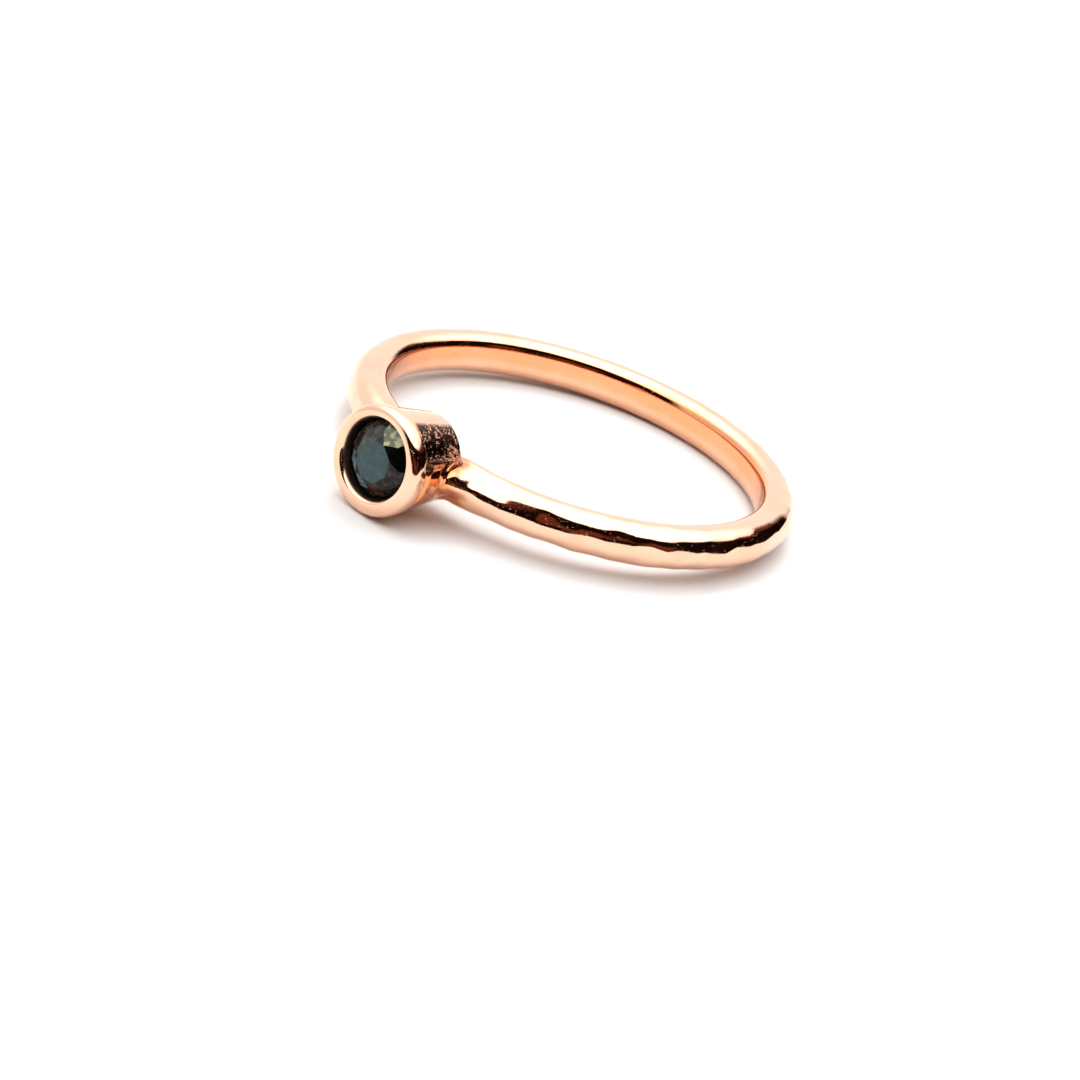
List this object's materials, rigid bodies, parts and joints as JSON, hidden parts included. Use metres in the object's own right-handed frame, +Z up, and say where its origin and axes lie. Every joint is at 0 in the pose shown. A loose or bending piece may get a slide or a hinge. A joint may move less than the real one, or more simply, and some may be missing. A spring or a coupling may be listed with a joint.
{
  "type": "stackable ring",
  "caption": "Slim finger ring with a hammered round band and a small round black stone in a rolled bezel cup, worn alone or stacked.",
  "frame": {"origin": "on the surface that the ring lies on, under the middle of its length, with the bezel's axis in the plane X = 0", "axes": "+Z up from the surface, the stone facing -Y and a little upwards, X across the ring"},
  "size_m": [0.0204, 0.0234, 0.0047],
  "materials": {
    "rose_gold": "polished rose gold plating, hammered on the outside of the band, as cast on the side of the cup",
    "black_stone": "opaque black cut stone with polished facets"
  },
  "bodies": {
    "root": {"shank_and_bezel": "rose_gold", "stone": "black_stone"}
  },
  "joints": []
}
